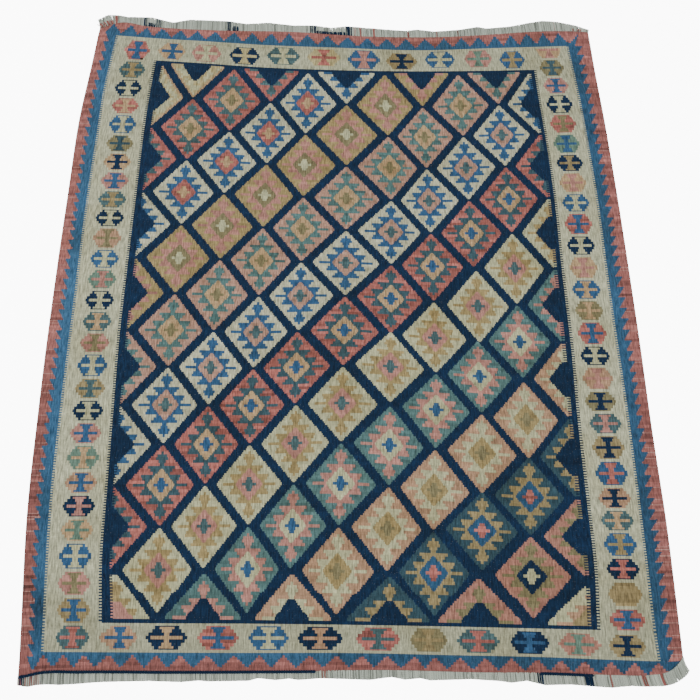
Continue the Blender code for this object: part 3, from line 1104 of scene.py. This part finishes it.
def tubes(name, centres, radii, phases, sides, colours, lengths, material):
    """Many closed tubes in one mesh: round profiles square to their centre lines.

    Centres and radii go by tube and ring. A point of a profile is its centre plus the radius times the
    cosine sideways and the sine upwards, and a tube's phase turns its profiles.
    """
    count, rings = radii.shape
    run = np.gradient(centres, axis=1)
    run /= np.linalg.norm(run, axis=-1, keepdims=True)
    sideways = np.stack([run[..., 1], -run[..., 0], np.zeros((count, rings))], axis=-1)
    sideways /= np.linalg.norm(sideways, axis=-1, keepdims=True)
    upwards = np.cross(sideways, run)
    angle = phases[:, None, None] + np.arange(sides) * math.tau / sides
    angle = np.broadcast_to(angle, (count, rings, sides))[..., None]
    points = centres[:, :, None] + radii[..., None, None] * (
        np.cos(angle) * sideways[:, :, None] + np.sin(angle) * upwards[:, :, None]
    )
    points[..., 2] = np.maximum(points[..., 2], CLEARANCE * MM)
    piece = new_piece(name, points.reshape(-1, 3), strand_faces(count, rings, sides), material)
    walls = (rings - 1) * sides
    face_colours = np.concatenate([np.repeat(colours, walls, axis=0), np.repeat(colours, 2, axis=0)])
    set_face_colours(piece.data, "yarn", face_colours)
    along = np.linspace(0.0, 1.0, rings)[None, :, None] * lengths[:, None, None]
    along = np.broadcast_to(along, (count, rings, sides))
    around = np.broadcast_to(np.arange(sides) / sides, (count, rings, sides))
    set_point_map(piece.data, "strand", np.stack([around, along], axis=-1).reshape(-1, 2))
    return piece


def stray_yarns(end, across, rng):
    """For each strand of a fringe, the number of the stray yarn that it is or -1 for none, and its reach.

    At most every second strand is a short one, so that the fringe stays full.
    """
    strays, reach = np.full(len(across), -1), np.ones(len(across))
    second = np.arange(len(across)) % 2 == 0
    for stretch_end, stretches in STRAYS.items():
        for stretch in stretches:
            stray = dict(zip(STRAY_COLUMNS, stretch))
            chosen = rng.random(len(across)) < stray["share"]
            if stretch_end == end:
                chosen &= (across > stray["from"]) & (across < stray["to"])
                chosen &= second | (stray["reach"] == 1.0)
                strays[chosen] = NUMBER[stray["yarn"]]
                reach[chosen] = stray["reach"]
    return strays, reach


class KILIM_OT_fray_ends(bpy.types.Operator):
    """Makes the two fringes, the warp ends that hang out of the woven ends and lie on the floor"""

    bl_idname = "kilim.fray_ends"
    bl_label = "Fray Ends"

    RINGS = 7
    SIDES = 4

    # Where a strand starts and how much longer it is made, then how far it is raised: over the cloth, which
    # is in full from an overlap on, and where it is a short stray on top of the others.
    ROOT_HEIGHT = 1.4
    ROOT_INSET = 1.5
    EXTRA_LENGTH = 1.0
    CLOTH_TOP = 4.2
    FULL_OVERLAP = 4.0
    SHORT_LIFT = 2.0

    # The ranges and the spreads from which every strand draws its own.
    SPACING = (0.1, 0.9)
    UNEVEN = (-1.0, 0.6)
    LEAN_SPREAD = 0.6
    TURNS = (3.0, 7.0)
    START = (0.0, 6.0)
    WAVE = (0.1, 0.4)
    LIFT = (0.0, 1.4)
    STOUTNESS = (0.75, 1.1)
    SHADE_SPREAD = 0.15
    SHADE_LIMITS = (0.7, 1.3)

    # The power of its length with which a strand leans, and how much thinner its tip is.
    LEAN_POWER = 1.6
    TAPER = 0.1

    def execute(self, context):
        material = spun_yarn("undyed warp yarn")
        for number, row in enumerate(FRINGES):
            fringe = dict(zip(FRINGE_COLUMNS, row))
            self.make(context, fringe, material, np.random.default_rng(SEED + 1 + number))
        return {"FINISHED"}

    def make(self, context, fringe, material, rng):
        """One fringe, whose strands lean and wave more towards their tips and sink to the floor."""
        sizes = context.scene.kilim_sizes
        end, outward, count = fringe["end"], fringe["outward"], sizes.strands
        each = (count, 1)
        place = (np.arange(count) + rng.uniform(*self.SPACING, count)) / count
        left, right = (side_x(side, 0.0 if end == "near" else 1.0) for side in ("left", "right"))
        across = left + (right - left) * place
        root = end_y(end, across) - outward * self.ROOT_INSET
        length = between(LENGTHS[end], across) * (1.0 + fringe["uneven"] * rng.uniform(*self.UNEVEN, count))
        strays, reach = stray_yarns(end, across, rng)
        length = (length + self.ROOT_INSET + self.EXTRA_LENGTH) * reach
        over = between(OVERLAPS[end], across)
        root -= outward * over
        scatter = fringe["scatter"] * rng.normal(0.0, self.LEAN_SPREAD, count)
        lean = fringe["lean"] + scatter + between(FLARES[end], across)
        t = np.linspace(0.0, 1.0, self.RINGS)[None]
        turns, start = rng.uniform(*self.TURNS, each), rng.uniform(*self.START, each)
        wave = rng.uniform(*self.WAVE, each) * np.sin(t * turns + start)
        lift = rng.uniform(*self.LIFT, each) * np.sin(math.pi * t)
        radius = sizes.strand_radius * rng.uniform(*self.STOUTNESS, each) * (1.0 - self.TAPER * t**4)
        x = across[:, None] + lean[:, None] * t**self.LEAN_POWER + wave * t
        y = root[:, None] + outward * length[:, None] * t
        on_cloth = (np.clip(over, 0.0, self.FULL_OVERLAP) / self.FULL_OVERLAP * self.CLOTH_TOP)[:, None]
        on_top = (reach < 1.0)[:, None] * self.SHORT_LIFT
        z = (self.ROOT_HEIGHT + on_cloth) * (1.0 - t) ** 2 + lift + on_top + radius / MM
        shift_x, shift_y = plan_shift()
        centres = np.stack([x * MM + shift_x, y * MM + shift_y, z * MM], axis=-1)
        warp = np.array(context.scene.kilim_yarns.warp)
        colours = np.where(strays[:, None] < 0, warp, yarn_palette()[strays])
        # Painted shadow: a share of the strands is darkened as if shaded between the others.
        painted_shadow = np.where(rng.random(each) < PAINTED_SHADOW_SHARE, PAINTED_SHADOW, 1.0)
        colours = colours * painted_shadow * rng.normal(1.0, self.SHADE_SPREAD, each).clip(*self.SHADE_LIMITS)
        phases = rng.uniform(0, math.tau, count)
        name = f"fringe_{end}"
        piece = tubes(name + "_yarn", centres, radius, phases, self.SIDES, colours, length * MM, material)
        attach(piece, "root")
        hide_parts(name)


class KILIM_OT_twine_end(bpy.types.Operator):
    """Lays the two twisted yarns that lock the last row at the near end"""

    bl_idname = "kilim.twine_end"
    bl_label = "Twine End"

    SIDES = 5
    RINGS_PER_TURN = 8

    # How far off the woven end and how high the yarns run, and how light the second one is.
    OFFSET = 0.6
    HEIGHT = 5.4
    DARKER_YARN = 0.8

    def execute(self, context):
        sizes = context.scene.kilim_sizes
        material = spun_yarn("twined navy yarn")
        shift_x, shift_y = plan_shift()
        navy = np.array(context.scene.kilim_yarns.navy)
        colours = np.stack([navy, navy * self.DARKER_YARN])
        for row in TWINES:
            twine = dict(zip(TWINE_COLUMNS, row))
            length = (twine["to"] - twine["from"]) * MM
            rings = round(length / sizes.twine_pitch * self.RINGS_PER_TURN) + 1
            across = np.linspace(twine["from"], twine["to"], rings)
            turn = (across - twine["from"]) * MM / sizes.twine_pitch * math.tau
            turn = np.stack([turn, turn + math.pi])
            x = np.broadcast_to(across * MM + shift_x, turn.shape)
            y = (end_y("near", across) - self.OFFSET) * MM + shift_y + sizes.twine_radius * np.cos(turn)
            z = self.HEIGHT * MM + sizes.twine_radius * np.sin(turn)
            centres = np.stack([x, y, z], axis=-1)
            radii, phases, lengths = np.full(turn.shape, sizes.twine_radius), np.zeros(2), np.full(2, length)
            piece = tubes(twine["piece"], centres, radii, phases, self.SIDES, colours, lengths, material)
            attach(piece, "root")
            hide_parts(twine["node"])
        return {"FINISHED"}


class KILIM_OT_stage(bpy.types.Operator):
    """Adds the pale floor, the soft studio light and the camera"""

    bl_idname = "kilim.stage"
    bl_label = "Set Stage"

    def execute(self, context):
        white = (1.0, 1.0, 1.0, 1.0)
        values = {
            "Base Color": (*context.scene.kilim_yarns.floor, 1.0),
            "Roughness": 0.9,
            "Emission Color": white,
            "Emission Strength": FLOOR_GLOW,
        }
        half = FLOOR_SIZE / 2
        corners = [(-half, -half, 0.0), (half, -half, 0.0), (half, half, 0.0), (-half, half, 0.0)]
        new_piece("floor", corners, [(0, 1, 2, 3)], new_material("pale floor", values)[0])
        for row in LIGHTS:
            self.light(context, **dict(zip(LIGHT_COLUMNS, row)))
        world = bpy.data.worlds.new("studio")
        world.use_nodes = True
        sky = world.node_tree.nodes["Background"]
        sky.inputs["Color"].default_value = white
        sky.inputs["Strength"].default_value = SKY_STRENGTH
        context.scene.world = world
        self.camera(context)
        return {"FINISHED"}

    def light(self, context, name, place, size, power):
        """A square soft light that faces the middle of the rug."""
        data = bpy.data.lights.new(name, "AREA")
        data.size = size
        data.energy = power
        lamp = bpy.data.objects.new(name, data)
        lamp.location = place
        x, y, z = place
        lamp.rotation_euler = (math.atan2(math.hypot(x, y), z), 0.0, math.atan2(x, -y))
        context.scene.collection.objects.link(lamp)

    def camera(self, context):
        """The camera over the near end of the rug, looking down and forwards."""
        data = bpy.data.cameras.new("camera")
        data.lens = CAMERA_LENS
        data.sensor_width = CAMERA_SENSOR
        camera = bpy.data.objects.new("camera", data)
        shift_x, shift_y = plan_shift()
        x, y, z = (part * MM for part in CAMERA_PLACE)
        camera.location = (x + shift_x, y + shift_y, z)
        camera.rotation_euler = tuple(math.radians(part) for part in CAMERA_TURN)
        context.scene.collection.objects.link(camera)
        context.scene.camera = camera


class KILIM_PT_rug(bpy.types.Panel):
    """Lists the rug's sizes, yarn colours and steps"""

    bl_idname = "KILIM_PT_rug"
    bl_label = "Kilim Rug"
    bl_space_type = "VIEW_3D"
    bl_region_type = "UI"
    bl_category = "Kilim"

    def draw(self, context):
        for group in (context.scene.kilim_sizes, context.scene.kilim_yarns):
            box = self.layout.box()
            for name in group.__annotations__:
                box.prop(group, name)
        for step in STEPS:
            self.layout.operator(step.bl_idname)


STEPS = (KILIM_OT_weave_cloth, KILIM_OT_fray_ends, KILIM_OT_twine_end, KILIM_OT_stage)
CLASSES = (KilimYarns, KilimSizes, *STEPS, KILIM_PT_rug)


def register():
    for each in CLASSES:
        bpy.utils.register_class(each)
    bpy.types.Scene.kilim_yarns = bpy.props.PointerProperty(type=KilimYarns)
    bpy.types.Scene.kilim_sizes = bpy.props.PointerProperty(type=KilimSizes)


def unregister():
    del bpy.types.Scene.kilim_sizes
    del bpy.types.Scene.kilim_yarns
    for each in reversed(CLASSES):
        bpy.utils.unregister_class(each)


def main():
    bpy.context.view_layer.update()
    register()
    bpy.ops.kilim.weave_cloth()
    bpy.ops.kilim.fray_ends()
    bpy.ops.kilim.twine_end()
    bpy.ops.kilim.stage()
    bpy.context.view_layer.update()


if __name__ == "__main__":
    main()
